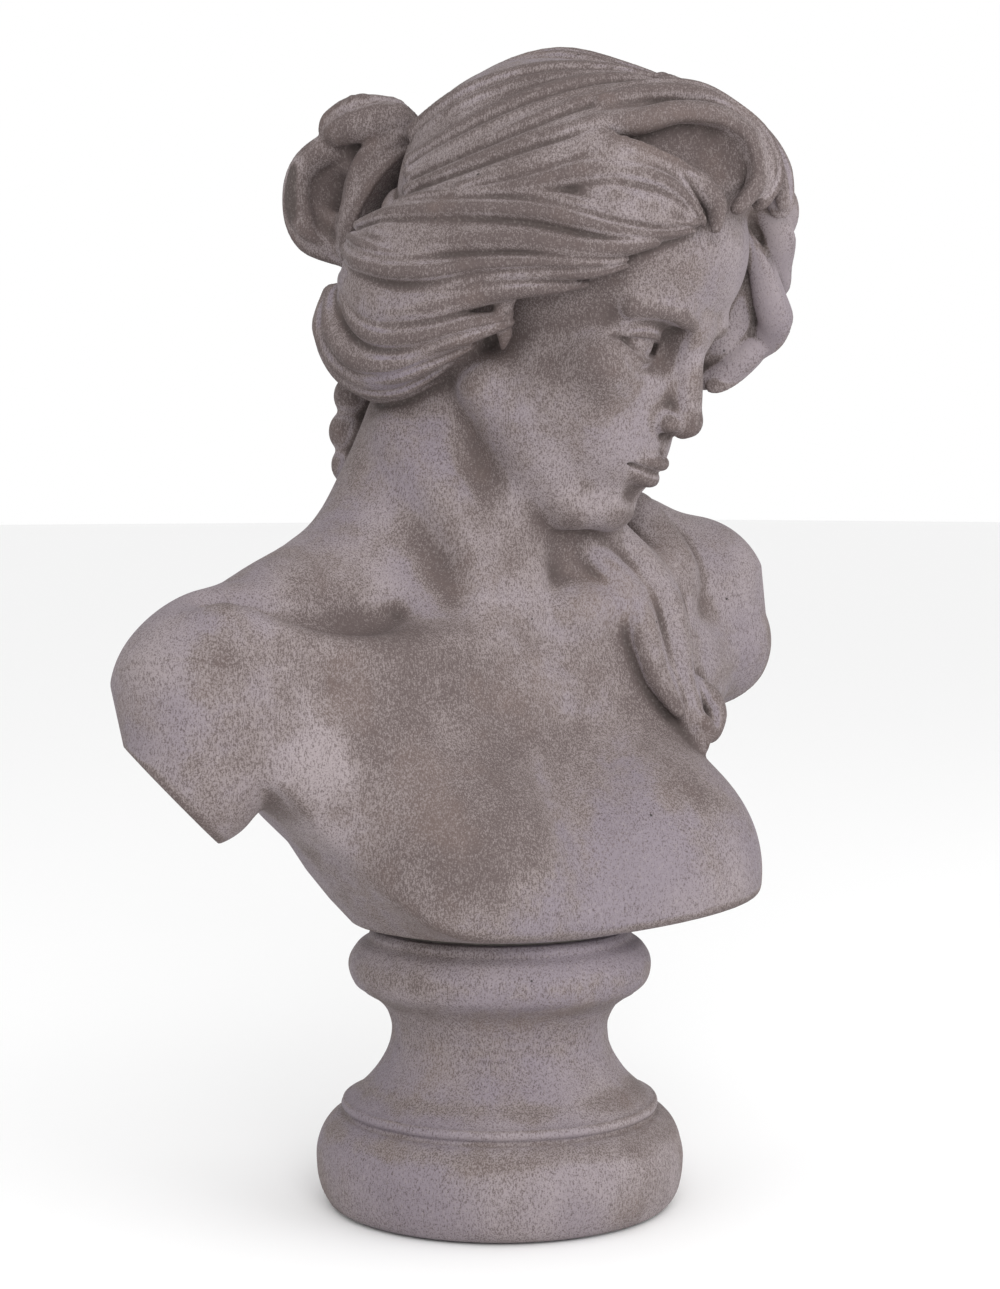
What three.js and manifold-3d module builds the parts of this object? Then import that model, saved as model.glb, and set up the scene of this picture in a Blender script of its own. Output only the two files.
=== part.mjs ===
// Classical bust of a woman on a turned socle, life-size head. Millimetres, +Z up.
// The origin lies on the socle's axis, on the plane that the object stands on.
// The chest faces -Y, and the figure's own left is +X.
import * as THREE from 'three';
import { mergeVertices } from 'three/addons/utils/BufferGeometryUtils.js';
import Module from 'manifold-3d';

const wasm = await Module();
wasm.setup();

// ---- driving dimensions ----
const FIT_GAP = 0.3;            // clearance between touching pieces
const TURN_SEGMENTS = 36;       // facets round the turned pieces

const COVER_RADIUS = 76;
const COVER_THICKNESS = 3;
const COVER_PROUD = 1;          // how far the cover stands below the stone rim

const BASE_RADIUS = 90;         // widest point of the base torus
const BASE_HEIGHT = 47;
const WAIST_RADIUS = 52.5;      // narrowest point of the scotia
const COLLAR_RADIUS = 64;
const SOCLE_TOP = 135;

const BED_RADIUS = 59;
const BED_THICKNESS = 2.4;

const ROD_RADIUS = 5;
const ROD_BOTTOM = 12;
const ROD_TOP = 214;
const BORE_CLEARANCE = 1.2;
const GROUT_RADIUS = 12;
const RECESS_RADIUS = 30;
const RECESS_TOP = 30;
const WASHER_RADIUS = 20;
const WASHER_THICKNESS = 2.5;
const NUT_ACROSS_FLATS = 17;
const NUT_HEIGHT = 8.4;

const HEAD_AT = new THREE.Vector3(42, 12, 446);   // middle of the skull at eye level
const HEAD_TURN = 22;           // degrees, towards the figure's left
const HEAD_BOW = 25;            // degrees, looking down
const HEAD_LEAN = 4;            // degrees, towards the left shoulder
const HEAD_SCALE = 0.92;        // against the head's own life-size measures below

const KNOT_SIDE = -6;           // hair knot, in the head's own measures
const KNOT_SEAT_BACK = 104;     // flat seat of the knot, behind the middle of the skull
const KNOT_HEIGHT = 8;
const KNOT_SEAT_RISE = 0.1;     // how much the seat looks upwards
const KNOT_ROOM = 44;           // radius of the flat seat
const PIN_RADIUS = 3;
const PIN_LENGTH = 36;

// ---- materials ----
const stone = new THREE.MeshStandardMaterial({ color: 0x8f888a, roughness: 0.85, metalness: 0 });
const mortar = new THREE.MeshStandardMaterial({ color: 0x6d665f, roughness: 0.95, metalness: 0 });
const steel = new THREE.MeshStandardMaterial({ color: 0xb4b7ba, roughness: 0.35, metalness: 1 });
const felt = new THREE.MeshStandardMaterial({ color: 0x3c3a38, roughness: 1, metalness: 0 });

// ---- making solids ----
const vec = (x, y, z) => new THREE.Vector3(x, y, z);
const degrees = THREE.MathUtils.degToRad;

function solid(geometry, matrix) {
  const shape = geometry.index ? geometry.toNonIndexed() : geometry.clone();
  if (matrix) shape.applyMatrix4(matrix);
  shape.deleteAttribute('normal');
  shape.deleteAttribute('uv');
  const merged = mergeVertices(shape, 1e-4);
  const corners = merged.index.array;
  const kept = [];
  for (let i = 0; i < corners.length; i += 3) {
    const [a, b, c] = [corners[i], corners[i + 1], corners[i + 2]];
    if (a !== b && b !== c && c !== a) kept.push(a, b, c);
  }
  return new wasm.Manifold(new wasm.Mesh({
    numProp: 3,
    vertProperties: merged.attributes.position.array,
    triVerts: new Uint32Array(kept),
  }));
}

function union(solids) {
  return solids.reduce((whole, next) => whole.add(next));
}

function meshOf(name, manifold, material) {
  const { vertProperties, triVerts } = manifold.getMesh();
  const geometry = new THREE.BufferGeometry();
  geometry.setAttribute('position', new THREE.BufferAttribute(vertProperties, 3));
  geometry.setIndex(new THREE.BufferAttribute(triVerts, 1));
  geometry.computeVertexNormals();
  const mesh = new THREE.Mesh(geometry, material);
  mesh.name = name;
  return mesh;
}

// An ellipsoid at a centre with half-axes, turned by degrees about x, y and z.
function ellipsoid(centre, radii, turn = [0, 0, 0], frame = null) {
  const rotation = new THREE.Euler(...turn.map(degrees));
  const matrix = new THREE.Matrix4().compose(
    vec(...centre), new THREE.Quaternion().setFromEuler(rotation), vec(...radii));
  if (frame) matrix.premultiply(frame);
  return solid(new THREE.SphereGeometry(1, 16, 10), matrix);
}

// A round limb that tapers from one centre and radius to another, with round ends.
function limb(from, fromRadius, to, toRadius, frame = null) {
  const start = vec(...from);
  const along = vec(...to).sub(start);
  const length = along.length();
  const profile = [];
  const steps = 3;
  for (let i = 0; i <= steps; i += 1) {
    const angle = (i / steps) * Math.PI / 2;
    profile.push(new THREE.Vector2(fromRadius * Math.sin(angle), -fromRadius * Math.cos(angle)));
  }
  for (let i = 0; i <= steps; i += 1) {
    const angle = (i / steps) * Math.PI / 2;
    profile.push(new THREE.Vector2(toRadius * Math.cos(angle), length + toRadius * Math.sin(angle)));
  }
  profile[0].x = 0;
  profile.at(-1).x = 0;
  const turn = new THREE.Quaternion().setFromUnitVectors(vec(0, 1, 0), along.normalize());
  const matrix = new THREE.Matrix4().compose(start, turn, vec(1, 1, 1));
  if (frame) matrix.premultiply(frame);
  return solid(new THREE.LatheGeometry(profile, 14), matrix);
}

// A roll of hair: an oval section carried along a smooth curve.
function roll(points, width, height, frame = null) {
  const path = new THREE.CatmullRomCurve3(points.map((point) => vec(...point)));
  const section = new THREE.Shape();
  section.absellipse(0, 0, width, height, 0, Math.PI * 2, false, 0);
  const geometry = new THREE.ExtrudeGeometry(section, {
    steps: points.length * 2, curveSegments: 5, extrudePath: path,
  });
  return solid(geometry, frame);
}

function turned(profile, segments = TURN_SEGMENTS) {
  const points = profile.map(([radius, height]) => new THREE.Vector2(radius, height));
  return solid(new THREE.LatheGeometry(points, segments), new THREE.Matrix4().makeRotationX(Math.PI / 2));
}

// A round bar between two heights on the axis.
function bar(radius, bottom, top, segments = 24) {
  return turned([[0, bottom], [radius, bottom], [radius, top], [0, top]], segments);
}

// Everything on the far side of a plane, as a large block to cut with.
function beyond(point, outward) {
  const size = 700;
  const normal = vec(...outward).normalize();
  const turn = new THREE.Quaternion().setFromUnitVectors(vec(0, 0, 1), normal);
  const centre = vec(...point).addScaledVector(normal, size / 2);
  const matrix = new THREE.Matrix4().compose(centre, turn, vec(1, 1, 1));
  return solid(new THREE.BoxGeometry(size, size, size), matrix);
}

// ---- socle ----
function makeSocle() {
  const rim = COVER_PROUD;
  const ledge = COVER_THICKNESS + FIT_GAP;
  const profile = [[BASE_RADIUS - 9, rim]];
  const torusMiddle = rim + 22;
  const torusTop = BASE_HEIGHT - 2;
  const below = 4;
  for (let i = 1; i <= below; i += 1) {
    const angle = (i / below) * Math.PI / 2;
    profile.push([BASE_RADIUS - 9 + 9 * Math.sin(angle), rim + 22 * (1 - Math.cos(angle))]);
  }
  const above = 5;
  for (let i = 1; i <= above; i += 1) {
    const angle = (i / above) * Math.PI / 2;
    profile.push([
      BASE_RADIUS - 15 + 15 * Math.cos(angle),
      torusMiddle + (torusTop - torusMiddle) * Math.sin(angle),
    ]);
  }
  profile.push([75.5, BASE_HEIGHT], [72, 52], [64, 60], [57.5, 69], [53.6, 77]);
  profile.push([WAIST_RADIUS, 85], [53.4, 91], [56.5, 97.5], [61, 102], [66, 105]);
  profile.push([71, 109], [73.6, 115], [73, 121], [69.6, 127], [65.5, 130], [COLLAR_RADIUS, 130.6]);
  profile.push([COLLAR_RADIUS - 0.6, SOCLE_TOP - 1.4], [COLLAR_RADIUS - 2, SOCLE_TOP]);
  const hole = ROD_RADIUS + BORE_CLEARANCE;
  profile.push([hole, SOCLE_TOP], [hole, RECESS_TOP], [RECESS_RADIUS, RECESS_TOP]);
  profile.push([RECESS_RADIUS, ledge], [COVER_RADIUS + FIT_GAP, ledge], [COVER_RADIUS + FIT_GAP, rim]);
  profile.push(profile[0]);
  return turned(profile);
}

// ---- the block of the bust ----
const SEAT_Z = SOCLE_TOP + BED_THICKNESS + FIT_GAP;   // underside of the bust

const headFrame = new THREE.Matrix4()
  .makeTranslation(HEAD_AT.x, HEAD_AT.y, HEAD_AT.z)
  .multiply(new THREE.Matrix4().makeRotationZ(degrees(HEAD_TURN)))
  .multiply(new THREE.Matrix4().makeRotationX(degrees(HEAD_BOW)))
  .multiply(new THREE.Matrix4().makeRotationY(degrees(HEAD_LEAN)))
  .multiply(new THREE.Matrix4().makeScale(HEAD_SCALE, HEAD_SCALE, HEAD_SCALE));

// The trunk stands in a cup that opens upwards from the seat on the socle.
function makeTorso() {
  const trunk = union([
    ellipsoid([-2, 46, 190], [128, 84, 116], [-12, 0, 0]),
    ellipsoid([-84, 14, 226], [76, 48, 54], [0, -8, 8]),
    ellipsoid([84, 12, 240], [76, 48, 54], [0, -16, -8]),
    ellipsoid([-84, 84, 228], [70, 44, 70], [8, 0, -14]),
    ellipsoid([84, 84, 242], [70, 44, 70], [8, 0, 14]),
  ]);
  const cup = turned([
    [0, SEAT_Z], [60, SEAT_Z], [70, 150], [82, 164], [92, 181], [106, 200], [126, 222],
    [170, 250], [230, 290], [230, 420], [0, 420],
  ]);
  const shoulders = union([
    limb([-141, 32, 252], 49, [-170, 20, 212], 38),
    limb([138, 34, 301], 46, [160, 24, 274], 40),
    limb([-18, 66, 318], 35, [-70, 54, 281], 35),
    limb([-70, 54, 281], 35, [-138, 42, 260], 37),
    limb([24, 66, 334], 36, [130, 40, 308], 36),
  ]);
  const armCuts = union([
    beyond([-181, 26, 217], [-0.63, 0.335, -0.68]),
    beyond([171, 24, 252], [0.63, 0.335, -0.68]),
  ]);
  const breasts = union([
    ellipsoid([-58, -10, 164], [56, 58, 74], [0, 0, 12]),
    ellipsoid([66, -16, 166], [72, 66, 78], [0, 0, -12]),
  ]);
  const breastCuts = union([
    beyond([0, -60, 133], [0, 0.1, -1]),
    beyond([90, -70, 146], [0.32, 0.1, -1]),
    beyond([-90, 0, 158], [-0.8, 0.1, -0.6]),
  ]);
  return trunk.intersect(cup).add(shoulders.subtract(armCuts)).add(breasts.subtract(breastCuts));
}

function makeNeck() {
  return union([
    limb([0, 58, 262], 50, [14, 46, 340], 47),
    limb([14, 46, 340], 47, [34, 32, 400], 48),
  ]);
}

// The face is a plain classical one: brow, straight nose, closed mouth, round chin.
function makeHead() {
  const f = headFrame;
  return union([
    ellipsoid([0, 5, 38], [74, 93, 78], [0, 0, 0], f),
    ellipsoid([0, -45, 45], [62, 48, 50], [0, 0, 0], f),
    ellipsoid([0, -40, -28], [60, 54, 72], [0, 0, 0], f),
    ellipsoid([0, -74, -84], [26, 22, 20], [0, 0, 0], f),
    limb([-44, -14, -54], 17, [-16, -66, -88], 15, f),
    limb([44, -14, -54], 17, [16, -66, -88], 15, f),
    ellipsoid([0, -74, -54], [34, 24, 26], [0, 0, 0], f),
    limb([0, -86, 12], 8, [0, -101, -30], 10, f),
    limb([-26, -82, 18], 10, [26, -82, 18], 10, f),
  ]);
}

// A cap of hair with a thick wreath of rolls round the face and over the ears.
function makeHair() {
  const f = headFrame;
  return union([
    ellipsoid([0, 10, 42], [84, 96, 84], [0, 0, 0], f),
    ellipsoid([-4, -50, 88], [50, 50, 36], [12, 0, 0], f),
    roll([[10, -94, 84], [-30, -92, 82], [-66, -74, 72], [-88, -36, 62], [-92, 8, 50],
      [-84, 60, 18], [-66, 92, -16]], 22, 20, f),
    roll([[10, -88, 86], [46, -80, 76], [72, -62, 56], [88, -54, 20], [88, -48, -18],
      [76, -20, -44]], 25, 23, f),
    roll([[-84, -14, 16], [-88, 34, -6], [-78, 66, -22], [-50, 92, -24]], 24, 22, f),
    roll([[-76, 0, -30], [-78, 40, -48], [-60, 74, -56], [-20, 92, -52]], 24, 24, f),
    roll([[86, -20, 20], [92, 20, 0], [84, 60, -24], [40, 94, -40]], 26, 26, f),
    roll([[4, -72, 96], [-10, -34, 108], [-16, 20, 108], [-12, 70, 88]], 28, 14, f),
    roll([[40, -60, 90], [50, -26, 98], [46, 20, 98], [30, 66, 84]], 26, 14, f),
  ]);
}

function makeTresses() {
  return union([
    roll([[0, 74, 410], [-10, 86, 380], [-12, 90, 346], [-10, 94, 316]], 15, 13),
    roll([[66, 30, 350], [90, 0, 316], [106, -20, 280], [112, -36, 250], [104, -44, 222]], 19, 14),
  ]);
}

// ---- the knot of hair, on a flat seat at the back of the head ----
const knotOutward = vec(0, 1, KNOT_SEAT_RISE).transformDirection(headFrame);
const knotSeat = vec(KNOT_SIDE, KNOT_SEAT_BACK, KNOT_HEIGHT).applyMatrix4(headFrame);

function makeKnotShape() {
  const f = headFrame;
  const loop = new THREE.Matrix4().copy(f)
    .multiply(new THREE.Matrix4().makeTranslation(KNOT_SIDE - 10, 140, KNOT_HEIGHT - 2))
    .multiply(new THREE.Matrix4().makeRotationZ(degrees(-20)))
    .multiply(new THREE.Matrix4().makeRotationY(Math.PI / 2));
  return union([
    solid(new THREE.TorusGeometry(26, 14, 8, 18), loop),
    ellipsoid([KNOT_SIDE, 110, KNOT_HEIGHT], [38, 36, 44], [0, 0, 0], f),
    ellipsoid([KNOT_SIDE - 4, 120, KNOT_HEIGHT + 36], [34, 28, 22], [0, 0, 0], f),
    limb([KNOT_SIDE + 2, 132, KNOT_HEIGHT - 34], 15, [KNOT_SIDE, 120, KNOT_HEIGHT - 56], 10, f),
  ]);
}

// A round bar from a point in one direction.
function barFrom(point, direction, radius, length) {
  const turn = new THREE.Quaternion().setFromUnitVectors(vec(0, 0, 1), direction);
  const matrix = new THREE.Matrix4().compose(point, turn, vec(1, 1, 1));
  return bar(radius, 0, length, 16).transform(matrix.elements);
}

const pinStart = knotSeat.clone().addScaledVector(knotOutward, -PIN_LENGTH / 2);
const pinBore = barFrom(
  pinStart.clone().addScaledVector(knotOutward, -FIT_GAP), knotOutward,
  PIN_RADIUS + FIT_GAP, PIN_LENGTH + 2 * FIT_GAP);

function makeKnot() {
  const seatFace = knotSeat.clone().addScaledVector(knotOutward, FIT_GAP / 2);
  return makeKnotShape()
    .subtract(beyond(seatFace.toArray(), knotOutward.clone().negate().toArray()))
    .subtract(pinBore);
}

// The head is cut flat only where the knot sits, and cleared round the knot's edge.
function makeBust() {
  const whole = makeTorso().add(makeNeck()).add(makeHead()).add(makeHair()).add(makeTresses());
  const seatFace = knotSeat.clone().addScaledVector(knotOutward, -FIT_GAP / 2);
  const f = headFrame;
  const room = union([
    barFrom(seatFace, knotOutward, KNOT_ROOM, 90),
    ellipsoid([KNOT_SIDE, 110, KNOT_HEIGHT], [39, 37, 45], [0, 0, 0], f),
    ellipsoid([KNOT_SIDE - 4, 120, KNOT_HEIGHT + 36], [35, 29, 23], [0, 0, 0], f),
    limb([KNOT_SIDE + 2, 132, KNOT_HEIGHT - 34], 16, [KNOT_SIDE, 120, KNOT_HEIGHT - 57], 11, f),
  ]);
  const bore = bar(GROUT_RADIUS + FIT_GAP, 0, ROD_TOP + 6, 20);
  const collarRoom = bar(COLLAR_RADIUS + 3, 0, SEAT_Z, TURN_SEGMENTS);
  return whole.subtract(room).subtract(collarRoom).subtract(bore).subtract(pinBore);
}

// ---- what ties the bust to the socle ----
function makeSettingBed() {
  const bottom = SOCLE_TOP + FIT_GAP;
  const top = bottom + BED_THICKNESS - FIT_GAP;
  const hole = GROUT_RADIUS + FIT_GAP;
  return turned([[hole, bottom], [BED_RADIUS, bottom], [BED_RADIUS, top], [hole, top], [hole, bottom]]);
}

function makeRodGrout() {
  const bottom = SOCLE_TOP + FIT_GAP;
  const top = ROD_TOP + 5;
  const hole = ROD_RADIUS + FIT_GAP;
  return turned([
    [hole, bottom], [GROUT_RADIUS, bottom], [GROUT_RADIUS, top], [0, top],
    [0, ROD_TOP + FIT_GAP], [hole, ROD_TOP + FIT_GAP], [hole, bottom],
  ], 20);
}

function makeWasher() {
  const top = RECESS_TOP - FIT_GAP;
  const bottom = top - WASHER_THICKNESS;
  const hole = ROD_RADIUS + FIT_GAP;
  return turned([[hole, bottom], [WASHER_RADIUS, bottom], [WASHER_RADIUS, top], [hole, top],
    [hole, bottom]], 24);
}

function makeNut() {
  const top = RECESS_TOP - FIT_GAP - WASHER_THICKNESS - FIT_GAP;
  const hole = ROD_RADIUS + FIT_GAP;
  const corners = NUT_ACROSS_FLATS / Math.sqrt(3);
  const hexagon = solid(
    new THREE.CylinderGeometry(corners, corners, NUT_HEIGHT, 6),
    new THREE.Matrix4().makeTranslation(0, 0, top - NUT_HEIGHT / 2)
      .multiply(new THREE.Matrix4().makeRotationX(Math.PI / 2)));
  return hexagon.subtract(bar(hole, 0, top + 5, 20));
}

const parts = [
  meshOf('base_cover', bar(COVER_RADIUS, 0, COVER_THICKNESS, TURN_SEGMENTS), felt),
  meshOf('hex_nut', makeNut(), steel),
  meshOf('washer', makeWasher(), steel),
  meshOf('socle', makeSocle(), stone),
  meshOf('setting_bed', makeSettingBed(), mortar),
  meshOf('centre_rod', bar(ROD_RADIUS, ROD_BOTTOM, ROD_TOP, 20), steel),
  meshOf('rod_grout', makeRodGrout(), mortar),
  meshOf('bust', makeBust(), stone),
  meshOf('hair_knot_pin', barFrom(pinStart, knotOutward, PIN_RADIUS, PIN_LENGTH), steel),
  meshOf('hair_knot', makeKnot(), stone),
];

const group = new THREE.Group();
group.add(...parts);
export default group;
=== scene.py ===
import math
import bpy
import numpy as np
import openvdb
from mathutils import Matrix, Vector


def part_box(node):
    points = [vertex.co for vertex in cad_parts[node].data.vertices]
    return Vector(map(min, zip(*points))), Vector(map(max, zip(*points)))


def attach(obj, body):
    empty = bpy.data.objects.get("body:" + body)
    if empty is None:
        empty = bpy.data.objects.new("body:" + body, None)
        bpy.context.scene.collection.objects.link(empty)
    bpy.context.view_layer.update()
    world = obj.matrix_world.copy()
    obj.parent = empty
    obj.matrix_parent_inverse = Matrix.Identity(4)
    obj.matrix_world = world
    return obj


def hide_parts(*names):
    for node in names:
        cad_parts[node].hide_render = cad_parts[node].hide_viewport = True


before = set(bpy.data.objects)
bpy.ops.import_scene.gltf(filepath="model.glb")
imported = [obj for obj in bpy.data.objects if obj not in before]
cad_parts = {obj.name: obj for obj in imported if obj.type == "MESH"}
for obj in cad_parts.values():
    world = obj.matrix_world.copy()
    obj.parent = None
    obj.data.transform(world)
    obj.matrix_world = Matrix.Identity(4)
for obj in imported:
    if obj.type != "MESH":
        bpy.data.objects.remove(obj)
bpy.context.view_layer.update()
MM = 0.001

# ---- the studio ----
# A pale floor that runs into a pale surround, two large soft lamps and a camera on a long
# lens, out beyond the figure's right shoulder and level with the neck.
scene = bpy.context.scene
scene.view_settings.view_transform = "Standard"
world = bpy.data.worlds.new("studio")
world.use_nodes = True
surround = world.node_tree.nodes["Background"].inputs
surround["Color"].default_value = (1.0, 1.0, 1.0, 1)
surround["Strength"].default_value = 1.0
scene.world = world

CAMERA_TURN = math.radians(40)
CAMERA_DISTANCE = 1.263
CAMERA_HEIGHT = 0.3435
CAMERA_DOWN = math.radians(3.2)
CAMERA_LENS = 72.6
SENSOR_HEIGHT = 36
LAMP_AIM_HEIGHT = 0.3
camera_data = bpy.data.cameras.new("camera")
camera_data.sensor_fit = "VERTICAL"
camera_data.sensor_height = SENSOR_HEIGHT
camera_data.lens = CAMERA_LENS
camera = bpy.data.objects.new("camera", camera_data)
camera.location = (
    -math.sin(CAMERA_TURN) * CAMERA_DISTANCE,
    -math.cos(CAMERA_TURN) * CAMERA_DISTANCE,
    CAMERA_HEIGHT,
)
camera.rotation_euler = (math.pi / 2 - CAMERA_DOWN, 0, -CAMERA_TURN)
scene.collection.objects.link(camera)
scene.camera = camera


def softbox(name, turn, height, distance, size, power):
    """A square area lamp that looks at the middle of the bust, turned from the camera's side."""
    data = bpy.data.lights.new(name, "AREA")
    data.size = size
    data.energy = power
    lamp = bpy.data.objects.new(name, data)
    angle = CAMERA_TURN + math.radians(turn)
    lamp.location = (-math.sin(angle) * distance, -math.cos(angle) * distance, height)
    drop = math.atan2(height - LAMP_AIM_HEIGHT, distance)
    lamp.rotation_euler = (math.pi / 2 - drop, 0, -angle)
    scene.collection.objects.link(lamp)


softbox("key", turn=-6, height=1.05, distance=1.6, size=1.0, power=15)
softbox("fill", turn=-66, height=0.6, distance=1.9, size=1.6, power=14)

FLOOR_SIZE = 60
bpy.ops.mesh.primitive_plane_add(size=FLOOR_SIZE)
floor = bpy.context.object
floor.name = "floor"
paper = bpy.data.materials.new("pale_paper")
paper.use_nodes = True
paper_inputs = paper.node_tree.nodes["Principled BSDF"].inputs
paper_inputs["Base Color"].default_value = (0.9, 0.9, 0.9, 1)
paper_inputs["Roughness"].default_value = 0.95
floor.data.materials.append(paper)

# ---- base cover ----
# A disc of cork faced with dark felt, let into the underside of the socle and glued there,
# so that the stone doesn't scratch what it stands on. Only its rim can show.


def new_material(name):
    """A new node material, its node tree and its Principled BSDF."""
    material = bpy.data.materials.new(name)
    material.use_nodes = True
    tree = material.node_tree
    return material, tree, tree.nodes["Principled BSDF"]


def texture_space(tree):
    """The place on the piece, in the piece's own coordinates in metres."""
    return tree.nodes.new("ShaderNodeTexCoord").outputs["Object"]


def noise(tree, where, scale, detail=4.0, roughness=0.6):
    """A cloudy value about 0.5, with about scale waves to the metre."""
    node = tree.nodes.new("ShaderNodeTexNoise")
    node.inputs["Scale"].default_value = scale
    node.inputs["Detail"].default_value = detail
    node.inputs["Roughness"].default_value = roughness
    tree.links.new(where, node.inputs["Vector"])
    return node.outputs["Fac"]


def ramp(tree, value, low, high):
    """Maps a value from low..high to 0..1, smoothly."""
    node = tree.nodes.new("ShaderNodeMapRange")
    node.interpolation_type = "SMOOTHSTEP"
    node.inputs["From Min"].default_value = low
    node.inputs["From Max"].default_value = high
    tree.links.new(value, node.inputs["Value"])
    return node.outputs["Result"]


def maths(tree, operation, first, second):
    """Works on two values, each a number or a socket."""
    node = tree.nodes.new("ShaderNodeMath")
    node.operation = operation
    for socket, value in zip(node.inputs, (first, second)):
        if isinstance(value, (int, float)):
            socket.default_value = value
        else:
            tree.links.new(value, socket)
    return node.outputs[0]


def mix(tree, factor, first, second):
    """Mixes two colours, each a tuple or a socket."""
    node = tree.nodes.new("ShaderNodeMix")
    node.data_type = "RGBA"
    for socket, value in zip((node.inputs[0], node.inputs[6], node.inputs[7]), (factor, first, second)):
        if isinstance(value, tuple):
            socket.default_value = (*value, 1)
        elif isinstance(value, float):
            socket.default_value = value
        else:
            tree.links.new(value, socket)
    return node.outputs[2]


def bump(tree, shader, height, strength, distance):
    """Gives the shader's surface a relief that stands up by distance, in metres, per unit of height."""
    node = tree.nodes.new("ShaderNodeBump")
    node.inputs["Strength"].default_value = strength
    node.inputs["Distance"].default_value = distance
    tree.links.new(height, node.inputs["Height"])
    tree.links.new(node.outputs["Normal"], shader.inputs["Normal"])


def wear(node_name, material):
    """Gives a CAD node's own object this material, and returns the object."""
    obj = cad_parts[node_name]
    obj.data.materials.clear()
    obj.data.materials.append(material)
    return obj


felt, tree, shader = new_material("dark_felt")
where = texture_space(tree)
nap = noise(tree, where, 900, 3)
lint = ramp(tree, noise(tree, where, 140, 6), 0.52, 0.7)
tree.links.new(mix(tree, lint, (0.018, 0.018, 0.019), (0.06, 0.058, 0.055)), shader.inputs["Base Color"])
shader.inputs["Roughness"].default_value = 1.0
shader.inputs["Sheen Weight"].default_value = 0.4
bump(tree, shader, nap, 0.5, 0.0006)
wear("base_cover", felt)

# ---- nut, washer and centre rod ----
# Stainless fixings. The rod is bonded into the bust, passes down through the socle, and is
# drawn tight by the nut on its plate washer in the recess under the socle.
stainless, tree, shader = new_material("stainless_steel")
where = texture_space(tree)
stretch = tree.nodes.new("ShaderNodeMapping")
stretch.inputs["Scale"].default_value = (1, 1, 14)
tree.links.new(where, stretch.inputs["Vector"])
drawn = noise(tree, stretch.outputs["Vector"], 300, 3)
tree.links.new(mix(tree, drawn, (0.5, 0.5, 0.51), (0.66, 0.66, 0.67)), shader.inputs["Base Color"])
shader.inputs["Metallic"].default_value = 1.0
rough = maths(tree, "ADD", maths(tree, "MULTIPLY", drawn, 0.25), 0.5)
tree.links.new(rough, shader.inputs["Roughness"])
bump(tree, shader, drawn, 0.2, 0.0002)
for name in ("hex_nut", "washer", "centre_rod"):
    wear(name, stainless)

# ---- socle ----
# One block of stone turned on a lathe: a fat base torus, a deep scotia, a smaller torus and a
# plain collar. It is bored for the rod, hollowed underneath for the nut, and rubbed by hand.
SOCLE_SIDES = 256
GAP = 0.3
ROD_CLEARANCE = 1.2
RECESS_RADIUS = 30
socle_low, socle_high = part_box("socle")
socle_top = socle_high[2] / MM
socle_rim = socle_low[2] / MM
base_radius = socle_high[0] / MM
cover_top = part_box("base_cover")[1][2] / MM
cover_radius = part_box("base_cover")[1][0] / MM
recess_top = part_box("washer")[1][2] / MM + GAP
rod_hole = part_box("centre_rod")[1][0] / MM + ROD_CLEARANCE


def arc(centre, radii, start, end, steps):
    """Points on an ellipse's arc in the turning plane, from one angle in degrees to another."""
    angles = np.radians(np.linspace(start, end, steps))
    return [(centre[0] + radii[0] * np.cos(a), centre[1] + radii[1] * np.sin(a)) for a in angles]


def eased(points, steps):
    """A smooth line through a few turning points."""
    line = []
    count = len(points)
    for i in range(count - 1):
        p0, p1, p2, p3 = (np.array(points[min(max(i + k, 0), count - 1)], float) for k in (-1, 0, 1, 2))
        for t in np.linspace(0, 1, steps, endpoint=False):
            line.append(0.5 * (2 * p1 + (p2 - p0) * t + (2 * p0 - 5 * p1 + 4 * p2 - p3) * t * t
                               + (3 * p1 - p0 - 3 * p2 + p3) * t ** 3))
    line.append(np.array(points[-1], float))
    return line


def socle_profile():
    """The outside from the rim up to the collar, then down through the bore to the rebate."""
    outside = arc((base_radius - 9, socle_rim + 22), (9, 22), -80, 0, 12)
    outside += arc((base_radius - 15, socle_rim + 22), (15, 22), 4, 84, 16)
    outside += eased([
        (base_radius - 14, 46.4), (base_radius - 12.4, 48.6), (base_radius - 13.4, 51.4),
        (73, 53), (64.4, 60.4), (57.8, 69), (54, 77), (52.8, 85), (53.8, 91), (57, 97.6),
        (62, 102), (66.6, 104.8),
    ], 5)
    outside += eased([
        (67.4, 105.6), (71.6, 109), (73.9, 115), (73.3, 121), (69.9, 126.6), (66.4, 129.2),
    ], 6)
    outside += eased([(64.6, 130.2), (64.2, 131.5), (63.6, 133.2), (62, socle_top)], 3)
    inside = [
        (rod_hole, socle_top), (rod_hole, recess_top), (RECESS_RADIUS, recess_top),
        (RECESS_RADIUS, cover_top + GAP), (cover_radius + GAP, cover_top + GAP),
        (cover_radius + GAP, socle_rim),
    ]
    return outside + inside, len(outside)


def turned_mesh(name, profile):
    """Turns a closed profile of radius and height, in millimetres, about the socle's axis."""
    points = np.array(profile, float)
    angles = np.linspace(0, 2 * np.pi, SOCLE_SIDES, endpoint=False)
    rings = len(points)
    x = points[:, 0][:, None] * np.cos(angles)
    y = points[:, 0][:, None] * np.sin(angles)
    z = np.repeat(points[:, 1][:, None], SOCLE_SIDES, 1)
    here = np.arange(rings * SOCLE_SIDES).reshape(rings, SOCLE_SIDES)
    above = np.roll(here, -1, axis=0)
    faces = np.stack([here, np.roll(here, -1, 1), np.roll(above, -1, 1), above], -1).reshape(-1, 4)
    return mesh_object(name, np.stack([x, y, z], -1).reshape(-1, 3), faces)


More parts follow.
